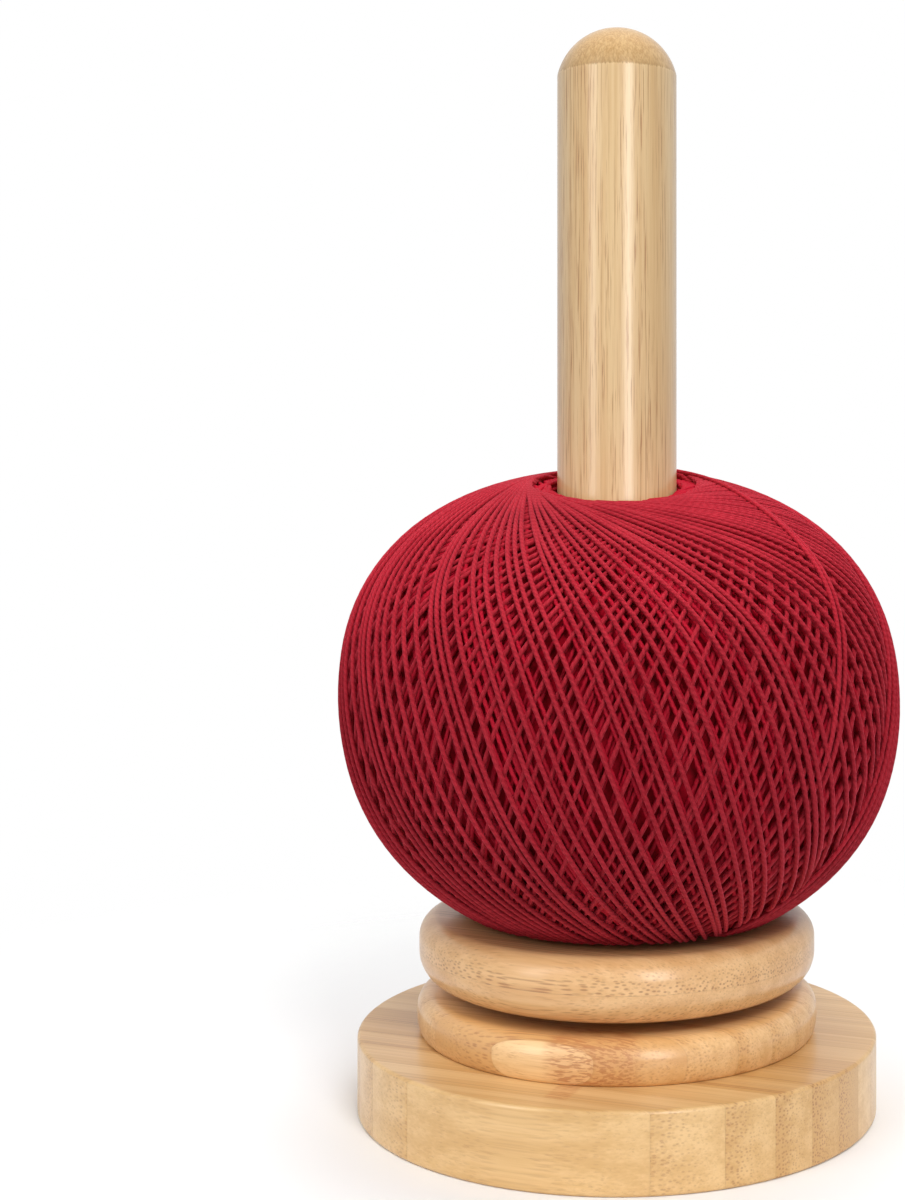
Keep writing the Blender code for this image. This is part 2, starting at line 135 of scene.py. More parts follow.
class Sketch:
    """Adds nodes to a tree in few words, so that a formula reads as one."""

    def __init__(self, tree: bpy.types.NodeTree) -> None:
        """Keeps the tree that the nodes go into."""
        self.tree = tree

    def fill(self, node: bpy.types.Node, inputs: Inputs) -> None:
        """Links terms and sockets into a node's inputs, and sets the others to plain values.

        Args:
            node: The node.
            inputs: What goes into its inputs, by their names or numbers.
        """
        for name, value in inputs.items():
            socket = node.inputs[name]
            if isinstance(value, Term):
                value = value.socket
            if isinstance(value, bpy.types.NodeSocket):
                self.tree.links.new(value, socket)
            else:
                socket.default_value = (*value, 1.0) if socket.type == "RGBA" else value

    def add(self, kind: str, inputs: Inputs | None = None, **settings: object) -> bpy.types.Node:
        """Adds one node.

        Args:
            kind: Blender's name of the node type.
            inputs: What goes into its inputs, by their names or numbers.
            settings: Properties to set on the node.

        Returns:
            The new node.
        """
        node = self.tree.nodes.new(kind)
        for name, value in settings.items():
            setattr(node, name, value)
        self.fill(node, inputs or {})
        return node

    def result(self, kind: str, inputs: Inputs, **settings: object) -> Term:
        """The first thing that comes out of a new node."""
        return Term(self, self.add(kind, inputs, **settings).outputs[0])

    def vector(self, x: Number, y: Number, z: Number) -> Term:
        """The vector of three numbers."""
        return self.result("ShaderNodeCombineXYZ", {0: x, 1: y, 2: z})

    def parts(self, vector: Term | bpy.types.NodeSocket) -> tuple[Term, Term, Term]:
        """The three numbers of a vector."""
        node = self.add("ShaderNodeSeparateXYZ", {0: vector})
        return tuple(Term(self, socket) for socket in node.outputs[:3])

    def cells(self, x: Number, y: Number) -> tuple[Term, Term]:
        """Scattered cells, one to each unit square of a plane.

        Args:
            x: The first number of the place in the plane.
            y: Its second number.

        Returns:
            The distance from the nearest cell's middle, and a random number for that cell.
        """
        inputs = {"Vector": self.vector(x, y, 0.0), "Scale": 1.0}
        node = self.add("ShaderNodeTexVoronoi", inputs, voronoi_dimensions="2D", feature="F1")
        return Term(self, node.outputs["Distance"]), self.parts(node.outputs["Color"])[0]

    def attribute(self, name: str) -> Term:
        """A number that the mesh carries, in a material's tree."""
        return Term(self, self.add("ShaderNodeAttribute", attribute_name=name).outputs["Fac"])

    def blend(self, share: Number, first: Colour | Term, second: Colour | Term) -> Term:
        """A colour that a share from 0 to 1 takes from the first of two to the second."""
        node = self.add("ShaderNodeMix", {0: share, 6: first, 7: second}, data_type="RGBA")
        return Term(self, node.outputs[2])

    def dress(self, shader: bpy.types.Node, colour: Term, height: Term, strength: float, relief: float) -> None:
        """Gives a shader its colour, and a bump as deep as the relief where its height falls from 1 to 0."""
        bump = self.result("ShaderNodeBump", {"Strength": strength, "Distance": relief, "Height": height})
        self.fill(shader, {"Base Color": colour, "Normal": bump})


def new_material(name: str, inputs: Inputs) -> tuple[Material, bpy.types.Node, Sketch]:
    """A material with its Principled shader, ready for a pattern.

    Args:
        name: The material's name.
        inputs: What is the same all over, by the names of the shader's inputs.

    Returns:
        The material, its shader node and a sketch of its tree.
    """
    material = bpy.data.materials.new(name)
    material.use_nodes = True
    shader = material.node_tree.nodes["Principled BSDF"]
    sketch = Sketch(material.node_tree)
    sketch.fill(shader, inputs)
    return material, shader, sketch


@dataclass(frozen=True)
class Place:
    """A place on a piece in millimetres: along its grain, across it, and the third way."""

    sketch: Sketch
    along: Term
    across: Term
    third: Term

    @classmethod
    def on_piece(cls, sketch: Sketch, turn: float = 0.0, upright: bool = False) -> Place:
        """The place on the piece that a material dresses.

        Args:
            sketch: The material's tree.
            turn: How far the pattern is turned about the upright axis.
            upright: Whether the grain runs up the piece.

        Returns:
            The place.
        """
        coordinates = sketch.add("ShaderNodeTexCoord").outputs["Object"]
        inputs = {"Vector": coordinates, "Rotation": (0.0, 0.0, turn), "Scale": (1 / MM, 1 / MM, 1 / MM)}
        x, y, z = sketch.parts(sketch.result("ShaderNodeMapping", inputs))
        return cls(sketch, z, x, y) if upright else cls(sketch, x, y, z)

    def noise(self, along: float, across: float, detail: float, roughness: float = 0.5) -> Term:
        """Soft noise, from about 0 to 1.

        Args:
            along: Its scale along the grain, in one millimetre.
            across: Its scale both ways across the grain.
            detail: How many finer octaves it has.
            roughness: How strong the finer octaves are.

        Returns:
            The noise.
        """
        vector = self.sketch.vector(self.along * along, self.across * across, self.third * across)
        inputs = {"Vector": vector, "Scale": 1.0, "Detail": detail, "Roughness": roughness}
        return self.sketch.result("ShaderNodeTexNoise", inputs, noise_dimensions="3D")


class Lay(Enum):
    """Which way the bamboo's fibres run, and how its strips are glued."""

    STAVES = "level, in upright staves"
    PLIES = "level, in flat plies"
    DOWEL = "upright, in one length"


@dataclass(frozen=True)
class Streaks:
    """How fine fibres run: the two scales and the roughness of their lines, the scales of the patches that they
    come in, and the values of the noise between which both fade in.
    """

    lines: tuple[float, float, float]
    patches: Pair
    line_fade: Pair
    patch_fade: Pair


BOARD_STREAKS = Streaks((0.035, 3.6, 0.62), (0.012, 0.45), (0.52, 0.74), (0.36, 0.62))
DOWEL_STREAKS = Streaks((0.065, 3.6, 0.66), (0.03, 0.35), (0.53, 0.63), (0.38, 0.60))


@dataclass(frozen=True)
class BambooFinish:
    """Clear-lacquered bamboo, as a solid pattern of fibres.

    The pattern is long along the fibres, so it shows streaks on a side that follows them and dots on an end.
    """

    name: str
    lay: Lay
    pale: Colour
    deep: Colour
    fibre: Colour = (0.36, 0.150, 0.055)
    line: Colour = (0.30, 0.14, 0.055)
    line_strength: float = 0.10
    grain_angle: float = GRAIN_ANGLE
    streaks: float = 0.34
    dots: float = 0.75
    dot_pitch: float = 0.62 * MM
    stave_offset: float = 0.0
    ply_bottom: float = 0.0
    ply_thickness: float = 1.0
    knot_place: float = 0.0
    knot_reach: float = 1.0 * MM
    knot_tint: Colour = (0.60, 0.24, 0.085)
    knot_fibre: Colour = (0.46, 0.165, 0.055)
    end_height: float = 1.0
    end: Colour = (0.40, 0.225, 0.072)
    roughness: float = 0.36
    coat: float = 0.4
    coat_roughness: float = 0.18
    # How far the pattern moves along from each stave to the next, in millimetres
    stave_shift: float = 41.0
    bump: Pair = (0.25, 0.04 * MM)

    def build(self) -> Material:
        """The finish as a material.

        Returns:
            The material.
        """
        inputs = {"Roughness": self.roughness, "Coat Weight": self.coat, "Coat Roughness": self.coat_roughness}
        material, shader, sketch = new_material(self.name, inputs)
        upright = self.lay is Lay.DOWEL
        place = Place.on_piece(sketch, 0.0 if upright else -self.grain_angle, upright)
        number, depth, line = self.strips(place)
        run = place
        if self.lay is Lay.STAVES:
            run = replace(place, along=place.along + number * self.stave_shift)
        fibres, dots = self.fibres(run), self.bundles(run, depth)
        colour = sketch.blend(fibres * self.streaks, self.wood(run, depth), self.fibre)
        colour = sketch.blend(dots * self.dots, colour, self.fibre)
        if upright:
            colour = sketch.blend(self.end_grain(place), colour, self.end)
        else:
            colour = sketch.blend(line * self.line_strength, colour, self.line)
            colour = self.knots(place, colour)
        sketch.dress(shader, colour, 1.0 - dots * 0.6 - fibres * 0.4, *self.bump)
        return material

    def strips(self, place: Place) -> tuple[Term, Term, Term]:
        """How a place lies in its strip of bamboo.

        Args:
            place: The place.

        Returns:
            The strip's number, the depth under its dense skin side, from 0 to 1, and a mask of the glue lines.
        """
        if self.lay is Lay.STAVES:
            start, width, reached = self.stave_offset, STAVE_WIDTH, place.across
        else:
            start, width, reached = self.ply_bottom, self.ply_thickness, place.third
        turns = (reached - start / MM) / (width / MM)
        number = turns.apply("FLOOR")
        depth = turns - number
        edge = (0.5 - (depth - 0.5).apply("ABSOLUTE")) * (width / MM)
        return number, depth, edge.ramp(0.03, 0.16, 1.0, 0.0)

    def wood(self, place: Place, depth: Term) -> Term:
        """The wood's ground colour, in soft bands along the fibres and darker under each stave's skin side.

        Args:
            place: The place.
            depth: The depth in the strip, from 0 to 1.

        Returns:
            The colour.
        """
        sketch = place.sketch
        broad, fine = place.noise(0.008, 0.30, 2.0), place.noise(0.03, 1.7, 2.0, 0.6)
        tone = (broad * 0.62 + fine * 0.38).ramp(0.34, 0.66) * 0.6 + 0.2
        if self.lay is not Lay.DOWEL:
            tone = tone + sketch.attribute("tone")
        if self.lay is Lay.STAVES:
            tone = tone + depth.ramp(0.0, 0.5, 0.3, 0.0) * sketch.attribute("dots")
        return sketch.blend(tone, self.pale, self.deep)

    def fibres(self, place: Place) -> Term:
        """The fine brown fibres that show as streaks.

        Args:
            place: The place.

        Returns:
            Their mask, from 0 to 1.
        """
        dowel = self.lay is Lay.DOWEL
        kind = DOWEL_STREAKS if dowel else BOARD_STREAKS
        along, across, roughness = kind.lines
        lines, patches = place.noise(along, across, 3.0, roughness), place.noise(*kind.patches, 1.0)
        if dowel:
            patches = patches + place.across.ramp(-9.0, -1.0, 0.16, 0.0)
        return lines.ramp(*kind.line_fade) * patches.ramp(*kind.patch_fade, 0.25, 1.0)

    def bundles(self, place: Place, depth: Term) -> Term:
        """The fibre bundles, dense under the skin side of each strip and sparse at its other side.

        Args:
            place: The place.
            depth: The depth in the strip, from 0 to 1.

        Returns:
            Their mask, from 0 to 1.
        """
        sketch, pitch = place.sketch, self.dot_pitch / MM
        sway = (place.along * 0.05).noise() * 1.2
        distance, random = sketch.cells(place.across / pitch + sway, place.third / pitch)
        if self.lay is Lay.DOWEL:
            broken = place.noise(0.05, 1.6, 1.0).ramp(0.42, 0.58)
            return distance.ramp(0.08, 0.32, 1.0, 0.0) * random.ramp(0.3, 0.9) * broken
        size = depth.ramp(0.0, 1.0, 0.44, 0.27)
        spot = distance.ramp(size * 0.3, size, 1.0, 0.0) * depth.ramp(0.0, 0.9, 1.0, 0.35)
        return spot * random.ramp(0.0, 0.8, 0.35, 1.0) * sketch.attribute("dots")

    def end_grain(self, place: Place) -> Term:
        """How far a dowel's domed end goes to the end grain's colour, in close speckles.

        Args:
            place: The place.

        Returns:
            The share, which is 0 below the dome.
        """
        dome = self.end_height / MM
        speckle = place.noise(0.4, 2.4, 3.0, 0.6)
        above = (place.along + speckle * 1.2).ramp(dome + 0.5, dome + 0.9)
        return above * (speckle.ramp(0.36, 0.66) * 0.32 + 0.55)

    def knots(self, place: Place, colour: Term) -> Term:
        """Coarse reddish fibres round the place where a stave crosses a joint of the cane.

        Args:
            place: The place.
            colour: The wood's colour so far.

        Returns:
            The new colour.
        """
        sketch = place.sketch
        away = (place.along - self.knot_place / MM).apply("ABSOLUTE") / (self.knot_reach / MM)
        near = away.ramp(0.75, 1.15, 1.0, 0.0) * sketch.attribute("knot")
        coarse = place.noise(0.26, 2.8, 2.0, 0.55).ramp(0.47, 0.57)
        colour = sketch.blend(near * 0.22, colour, self.knot_tint)
        return sketch.blend(coarse * near * 0.62, colour, self.knot_fibre)


@dataclass(frozen=True)
class ThreadFinish:
    """Twisted cotton thread with a soft sheen, and painted highlight and shade along its twist."""

    name: str
    bright: Colour
    dull: Colour
    twist_pitch: float = 1.5 * MM
    roughness: float = 0.68
    sheen: float = 0.50
    sheen_tint: Colour = (1.0, 0.12, 0.18)
    bump: Pair = (0.6, 0.12 * MM)

    def build(self) -> Material:
        """The finish as a material.

        Returns:
            The material.
        """
        material, shader, sketch = new_material(self.name, {
            "Roughness": self.roughness, "Specular IOR Level": 0.14,
            "Sheen Weight": self.sheen, "Sheen Roughness": 0.45, "Sheen Tint": self.sheen_tint,
        })
        turn = sketch.attribute("run") * (2 * math.pi / (self.twist_pitch / MM))
        wave = turn.apply("SINE") * sketch.attribute("round_x") + turn.apply("COSINE") * sketch.attribute("round_y")
        place = Place.on_piece(sketch)
        fuzz, patch = place.noise(4.0, 4.0, 2.0, 0.6), place.noise(0.12, 0.12, 2.0)
        # Painted highlight and shade: the twist's wave lightens the crests of the plies and darkens their grooves. The
        # fuzz and the patches are the thread's own uneven tone.
        tone = wave * 0.22 + (fuzz - 0.5) * 1.2 + (patch - 0.5) * 0.8 + 0.5
        colour = sketch.blend(tone.ramp(0.0, 1.0), self.dull, self.bright)
        sketch.dress(shader, colour, wave * 0.5 + fuzz * 0.5, *self.bump)
        return material


@dataclass(frozen=True)
class HeartFinish:
    """Thread under the layers, in a darker red than the thread's own: painted shade for the gaps between the layers.
    """

    name: str
    colour: Colour = (0.36, 0.003, 0.014)
    shade: Colour = (0.25, 0.002, 0.009)

    def build(self) -> Material:
        """The finish as a material.

        Returns:
            The material.
        """
        material, shader, sketch = new_material(self.name, {"Roughness": 0.9, "Specular IOR Level": 0.1})
        packed = Place.on_piece(sketch).noise(1.0, 1.0, 2.0).ramp(0.35, 0.65)
        sketch.fill(shader, {"Base Color": sketch.blend(packed, self.shade, self.colour)})
        return material


def nodes_named(start: str) -> list[str]:
    """The CAD nodes whose names begin with some words, in order."""
    return sorted(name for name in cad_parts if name.startswith(start))


def arc(centre: Pair, radius: float, start: float, end: float, segments: int, stretch: float = 1.0) -> Outline:
    """An arc's points, from its start to its end in degrees. It may be stretched, to be taller than wide."""
    angles = (math.radians(start + (end - start) * i / segments) for i in range(segments + 1))
    return [(centre[0] + radius * math.cos(a), centre[1] + radius * stretch * math.sin(a)) for a in angles]


def rounded_disc(radius: float, bottom: float, top: float, bore: float, rounds: Pair, stretch: float) -> Outline:
    """A bored disc's closed outline, with a ring beside each rounding that keeps the flat faces flat.

    Args:
        radius: The disc's outer radius.
        bottom: The height of its underside.
        top: The height of its top.
        bore: The radius of its bore.
        rounds: The radius of its top and of its bottom edge, 0 for a square one.
        stretch: How many times taller than wide its bottom edge's rounding is.

    Returns:
        The points, from the bore's top round the outside to the bore's bottom.
    """
    over, under = rounds
    outline: Outline = [(bore, top), (radius - over - FLAT_RING, top)]
    outline += arc((radius - over, top - over), over, 90.0, 0.0, EDGE_STEPS) if over else [(radius, top)]
    low_centre = (radius - under, bottom + under * stretch)
    outline += arc(low_centre, under, 0.0, -90.0, EDGE_STEPS, stretch) if under else [(radius, bottom)]
    return [*outline, (radius - under - FLAT_RING, bottom), (bore, bottom)]


def turned(outline: Outline, steps: int, closed: bool) -> Shape:
    """A solid turned on the Z axis.

    Args:
        outline: Its (radius, height) points.
        steps: How many facets go round.
        closed: Whether the last point joins the first, as on a bored piece.

    Returns:
        The solid, with its faces pointing out.
    """
    shape = bmesh.new()
    verts = [shape.verts.new((radius, 0.0, height)) for radius, height in outline]
    pairs = list(zip(verts, verts[1:])) + ([(verts[-1], verts[0])] if closed else [])
    edges = [shape.edges.new(pair) for pair in pairs]
    bmesh.ops.spin(
        shape, geom=verts + edges, cent=(0, 0, 0), axis=(0, 0, 1), angle=2 * math.pi, steps=steps, use_merge=True
    )
    bmesh.ops.remove_doubles(shape, verts=shape.verts, dist=MERGE_DISTANCE)
    bmesh.ops.recalc_face_normals(shape, faces=shape.faces)
    return shape


def in_scene(name: str, data: bpy.types.ID) -> Piece:
    """Makes an object of a mesh, a light or a camera, and links it to the scene.

    Args:
        name: The object's name.
        data: The mesh, light or camera.

    Returns:
        The object.
    """
    thing = bpy.data.objects.new(name, data)
    bpy.context.scene.collection.objects.link(thing)
    return thing


def finished(name: str, shape: Shape, material: Material) -> Piece:
    """Makes an object of a shape and its material, shaded smooth but for its sharp edges.

    Args:
        name: The piece's name.
        shape: Its shape, which is freed.
        material: Its finish.

    Returns:
        The object, linked to the scene.
    """
    mesh = bpy.data.meshes.new(name)
    shape.to_mesh(mesh)
    shape.free()
    mesh.materials.append(material)
    mesh.shade_smooth()
    mesh.set_sharp_from_angle(angle=SHARP_ANGLE)
    return in_scene(name, mesh)


def hand_over(piece: Piece, body: str, node: str) -> None:
    """Puts a finished piece on its body, in place of the CAD node that it stands for, and reports it.

    Args:
        piece: The finished piece.
        body: The body that it moves with.
        node: The CAD node that it stands for.
    """
    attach(piece, body)
    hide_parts(node)
    LOG.info("%s: %d faces", piece.name, len(piece.data.polygons))


@dataclass
class StaveLooks:
    """How one stave or ply differs from its neighbours, for the finish to read from its mesh. Its tone also carries
    painted shade on some staves.
    """

    tone: float = 0.0
    dots: float = 0.7
    knot: float = 0.0

    def mark(self, mesh: bpy.types.Mesh) -> None:
        """Writes each of these numbers on every point of a mesh."""
        for name, value in vars(self).items():
            mesh.attributes.new(name, "FLOAT", "POINT").data.foreach_set("value", [value] * len(mesh.vertices))


@dataclass
class StaveBoard:
    """A round board of upright bamboo staves, as fine turned pieces in place of the faceted nodes."""

    prefix: str
    body: str
    slot: str
    finish: BambooFinish
    rounds: Pair
    bore: float
    looks: dict[int, StaveLooks]
    stretch: float = 1.0
    seat: str = ""
    low: Vector = field(init=False)
    high: Vector = field(init=False)

    def __post_init__(self) -> None:
        """Reads the board's place and size from the frame, and seats it on the piece below."""
        boxes = [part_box(node) for node in nodes_named(self.prefix)]
        self.low = Vector(min(low[axis] for low, _ in boxes) for axis in range(3))
        self.high = Vector(max(high[axis] for _, high in boxes) for axis in range(3))
        if self.seat:
            self.low.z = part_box(self.seat)[1].z + SAW_GAP

    @property
    def radius(self) -> float:
        """The board's size, which only the middle staves reach in full.

        Returns:
            The radius.
        """
        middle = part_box(f"{self.prefix}{len(nodes_named(self.prefix)) // 2 + 1:02d}")
        long_side = (middle[1] - middle[0]).x - math.sin(-GRAIN_ANGLE) * STAVE_WIDTH
        return max(long_side / 2 / math.cos(GRAIN_ANGLE), (self.high - self.low).x / 2)

    def joints(self) -> list[float]:
        """Where the staves meet, across the grain.

        Returns:
            The joints' distances from the axis, with both rims.
        """
        inside = self.radius - LEAST_STAVE_WIDTH
        offset = self.finish.stave_offset
        first = math.ceil((-inside - offset) / STAVE_WIDTH)
        last = math.floor((inside - offset) / STAVE_WIDTH)
        rim = self.radius + STAVE_WIDTH
        return [-rim, *(offset + STAVE_WIDTH * n for n in range(first, last + 1)), rim]

    def build(self) -> None:
        """Turns the board, saws it into its staves and dresses each."""
        outline = rounded_disc(self.radius, self.low.z, self.high.z, self.bore, self.rounds, self.stretch)
        blank = turned(outline, DISC_STEPS, True)
        material = self.finish.build()
        across = Vector((-math.sin(GRAIN_ANGLE), math.cos(GRAIN_ANGLE), 0.0))
        joints = self.joints()
        for number, (low, high) in enumerate(zip(joints, joints[1:]), 1):
            stave = blank.copy()
            for place, way in ((low + SAW_GAP / 2, -1), (high - SAW_GAP / 2, 1)):
                self.saw(stave, across * place, across * way)
            name = f"{self.prefix}{number:02d}"
            piece = finished(f"{name}_wood", stave, material)
            self.looks.get(number, StaveLooks()).mark(piece.data)
            hand_over(piece, self.body, name)
        blank.free()

    @staticmethod
    def saw(shape: Shape, place: Vector, way: Vector) -> None:
        """Cuts a shape flat and closes the cut.

        Args:
            shape: The shape that is cut.
            place: A point of the cut.
            way: The side of the cut that falls away.
        """
        geometry = [*shape.verts, *shape.edges, *shape.faces]
        cut = {"dist": MERGE_DISTANCE, "plane_co": place, "plane_no": way, "clear_outer": True}
        bmesh.ops.bisect_plane(shape, geom=geometry, **cut)
        rim = [edge for edge in shape.edges if edge.is_boundary]
        if rim:
            bmesh.ops.holes_fill(shape, edges=rim, sides=0)
        bmesh.ops.recalc_face_normals(shape, faces=shape.faces)


@dataclass
class Turntable:
    """The two glued plies of the disc that turns."""

    top_round: float = 3.8 * MM
    bottom_round: float = 5.5 * MM
    bore: float = 9.25 * MM

    def build(self) -> None:
        """Turns and dresses both plies."""
        lower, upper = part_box("turntable_lower_ply"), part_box("turntable_upper_ply")
        seam = (lower[1].z + upper[0].z) / 2
        finish = BambooFinish(
            "turntable_bamboo", Lay.PLIES, (0.87, 0.56, 0.275), (0.68, 0.375, 0.15),
            grain_angle=math.radians(-24.0), ply_bottom=lower[0].z, ply_thickness=seam - lower[0].z,
            streaks=0.38, dots=0.9,
        )
        material = finish.build()
        radius = (upper[1].x - upper[0].x) / 2
        plies = (
            ("turntable_lower_ply", lower[0].z, seam - SAW_GAP / 2, (0.0, self.bottom_round), 0.05),
            ("turntable_upper_ply", seam + SAW_GAP / 2, upper[1].z, (self.top_round, 0.0), 0.0),
        )
        for name, bottom, top, rounds, tone in plies:
            shape = turned(rounded_disc(radius, bottom, top, self.bore, rounds, 1.0), DISC_STEPS, True)
            piece = finished(f"{name}_wood", shape, material)
            StaveLooks(tone=tone, dots=0.8).mark(piece.data)
            hand_over(piece, "spinner", name)


@dataclass
class Dowels:
    """The domed spindle and the domed axle peg."""

    spindle_dome: float = 9.2 * MM
    peg_dome: float = 5.0 * MM
    bore: float = 6.55 * MM
    tenon: float = 8.95 * MM
    steps: int = 160
    dome_segments: int = 28
    crease_ring: float = 0.3 * MM

    def dome(self, radius: float, height: float, top: float) -> Outline:
        """A domed end's outline, from its tip to the crease where the straight side begins.

        Args:
            radius: The dowel's radius.
            height: The dome's height.
            top: The height of its tip.

        Returns:
            The points.
        """
        sphere = (radius**2 + height**2) / (2 * height)
        reach = math.degrees(math.asin((sphere - height) / sphere))
        points = arc((0.0, top - sphere), sphere, 90.0, reach, self.dome_segments)
        return [(0.0, top), *points[1:], (radius, top - height - self.crease_ring)]

    def build(self) -> None:
        """Turns and dresses both dowels."""
        self.build_spindle()
        self.build_peg()

    def build_spindle(self) -> None:
        """The spindle, with its shoulder, its tenon and its blind bore over the peg."""
        low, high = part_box("spindle")
        radius = (high.x - low.x) / 2
        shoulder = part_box("turntable_upper_ply")[1].z + SEAT_GAP
        bore_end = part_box("axle_peg")[1].z + SEAT_GAP
        outline = [
            *self.dome(radius, self.spindle_dome, high.z),
            (radius, shoulder), (self.tenon, shoulder), (self.tenon, low.z),
            (self.bore, low.z), (self.bore, bore_end), (0.0, bore_end),
        ]
        finish = BambooFinish(
            "spindle_bamboo", Lay.DOWEL, (0.90, 0.665, 0.365), (0.71, 0.44, 0.185),
            fibre=(0.40, 0.155, 0.045), streaks=0.74, dots=0.60, dot_pitch=0.55 * MM,
            end_height=high.z - self.spindle_dome, roughness=0.33, coat=0.5,
        )
        piece = finished("spindle_wood", turned(outline, self.steps, False), finish.build())
        hand_over(piece, "spinner", "spindle")

    def build_peg(self) -> None:
        """The peg that the spindle turns on."""
        low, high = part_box("axle_peg")
        radius = (high.x - low.x) / 2
        outline = [*self.dome(radius, self.peg_dome, high.z), (radius, low.z), (0.0, low.z)]
        finish = BambooFinish(
            "peg_bamboo", Lay.DOWEL, (0.82, 0.57, 0.34), (0.68, 0.42, 0.22),
            streaks=0.4, dots=0.4, dot_pitch=0.5 * MM, end_height=high.z - self.peg_dome,
            roughness=0.45, coat=0.1,
        )
        piece = finished("axle_peg_wood", turned(outline, self.steps // 2, False), finish.build())
        hand_over(piece, "base", "axle_peg")


@dataclass
class Winding:
    """One layer of thread, laid loop beside loop right round the ball.

    Its sizes have the names of the node tree's inputs. Of the loops that would go right round, it lays some or
    all, from the first.
    """

    name: str
    start: float
    seed: float
    inset: float
    tilt: float
    crest: float
    loops: int = 108
    laid: int = 108
    first: int = 0
    points: int = 112
    sides: int = 7
    drift: float = 0.0
    dive: float = 0.0


@dataclass
class ThreadBall:
    """The ball of thread: layers of winding over a dark heart.

    Each loop leans over the ball's axis and passes the rims of its two mouths, and each is laid a little further
    round than the one before. Where two strands cross, the one that was laid later lies on top.
    """

    thread: float = 0.84 * MM
    layer: float = 1.15 * MM
    crossing_step: float = 0.76 * MM
    trim: float = 0.22 * MM
    centre: float = 78.4 * MM
    shift: float = 0.4 * MM
    crest_radius: float = 16.4 * MM
    deep_rim: float = 13.6 * MM
    high_half: float = 42.8 * MM
    low_half: float = 49.0 * MM
    side_fullness: Pair = (0.0285, 0.0535)
    end_fullness: Pair = (0.0, 0.069)
    lean_left: float = 0.0187
    lean_front: Pair = (0.225, 0.16)
    lean_from: float = 0.2
    seam: float = 0.02
    over_mouth: float = 0.02
    crossing_share: float = 0.012
    first_bearing: float = math.radians(64.0)
    early_lean: float = math.radians(6.0)
    early_share: Pair = (0.15, 0.45)
    tail_loops: int = 240
    tail_bearing: float = math.radians(46.0)
    tail_lean: float = math.radians(13.0)
    tail_rise: float = 0.6 * MM
    tail_drift: float = math.radians(22.0)
    tail_dive: float = 1.8 * MM
    drift_span: Pair = (-2.9, -1.5)
    dive_span: Pair = (-0.40, -0.02)
    # How loops stray from even steps and from their lean: how often in a turn, and how far
    quick_stray: Pair = (0.83, 1.05)
    slow_stray: Pair = (0.17, 1.6)
    lean_stray: Pair = (0.31, 0.04)
    # Where loops gather into bundles, as a share of the layer: how many loops far, and how tightly
    bundles: tuple[tuple[float, float, float], ...] = (
        (0.578, 2.8, 0.82), (0.762, 1.4, 0.62), (0.665, 1.3, 0.5), (0.87, 1.5, 0.55), (0.972, 3.6, 0.74),
    )
    foot_round: float = 0.6 * MM
    heart_inset: float = 3.0 * MM
    heart_steps: int = 160
    heart_segments: int = 40
    heart_clearance: float = 1.2 * MM
    mouth_depth: float = 5.0 * MM
    low: Vector = field(init=False)
    high: Vector = field(init=False)

    def __post_init__(self) -> None:
        """Reads the ball's place and size from the frame."""
        self.low, self.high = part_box("yarn_winding")

    @property
    def radius(self) -> float:
        """The ball's radius at its middle, just inside the frame's own winding."""
        return (self.high.x - self.low.x) / 2 - self.trim

    @property
    def crest(self) -> float:
        """The angle above the middle at which the outermost thread passes the mouth."""
        return math.acos(self.crest_radius / self.radius)

    def windings(self) -> list[Winding]:
        """The layers of thread.

        Returns:
            The layers from the outermost in, and the thread's tail.
        """
        skin, crest, deep_crest = self.thread / 2, self.crest, math.acos(self.deep_rim / self.radius)
        deep, deeper = skin + self.layer, skin + 2 * self.layer
        lean, deep_lean, deeper_lean = (math.radians(angle) for angle in (18.5, 20.5, 16.0))
        return [
            Winding("thread_outer", self.first_bearing, 3.0, skin, lean, crest),
            Winding("thread_second", 2.6, 17.0, deep, deep_lean, deep_crest, 112, 112, points=88, sides=6),
            Winding("thread_third", 4.4, 31.0, deeper, deeper_lean, deep_crest, points=72, sides=5),
            Winding(
                "thread_tail", self.tail_bearing, 3.0, skin - self.tail_rise, self.tail_lean, crest,
                self.tail_loops, 2, self.tail_loops, drift=self.tail_drift, dive=self.tail_dive,
            ),
        ]

    def build(self) -> None:
        """Winds and dresses the ball."""
        thread = ThreadFinish("thread_crimson", (0.46, 0.021, 0.037), (0.30, 0.007, 0.017)).build()
        # The deeper layers wear a brighter, redder copy of the crimson: painted light for the light that scatters into
        # the gaps between the layers.
        deep = ThreadFinish("thread_deep_painted_light", (0.50, 0.009, 0.030), (0.37, 0.005, 0.018), sheen=0.0).build()
        for winding in self.windings():
            piece = self.wind(winding, deep if winding.inset > self.layer else thread)
            hand_over(piece, "yarn_ball", "yarn_winding")
        heart = finished("thread_heart", self.heart(), HeartFinish("thread_heart_painted_shade").build())
        hand_over(heart, "yarn_ball", "yarn_core")

    def wind(self, winding: Winding, material: Material) -> Piece:
        """Runs one layer's node tree and keeps its mesh.

        Args:
            winding: The layer.
            material: The thread's finish.

        Returns:
            The piece, with no modifier left on it.
        """
        values = vars(winding) | {
            "thread_radius": self.thread / 2, "crossing_step": self.crossing_step, "material": material,
        }
        name = values.pop("name")
        tree, keys = self.winding_tree(values)
        piece = in_scene(name, bpy.data.meshes.new(f"{name}_start"))
        modifier = piece.modifiers.new("Wind", "NODES")
        modifier.node_group = tree
        for size, value in values.items():
            modifier[keys[size]] = value
        graph = bpy.context.evaluated_depsgraph_get()
        mesh = bpy.data.meshes.new_from_object(piece.evaluated_get(graph), depsgraph=graph)
        piece.modifiers.clear()
        piece.data = mesh
        mesh.shade_smooth()
        return piece

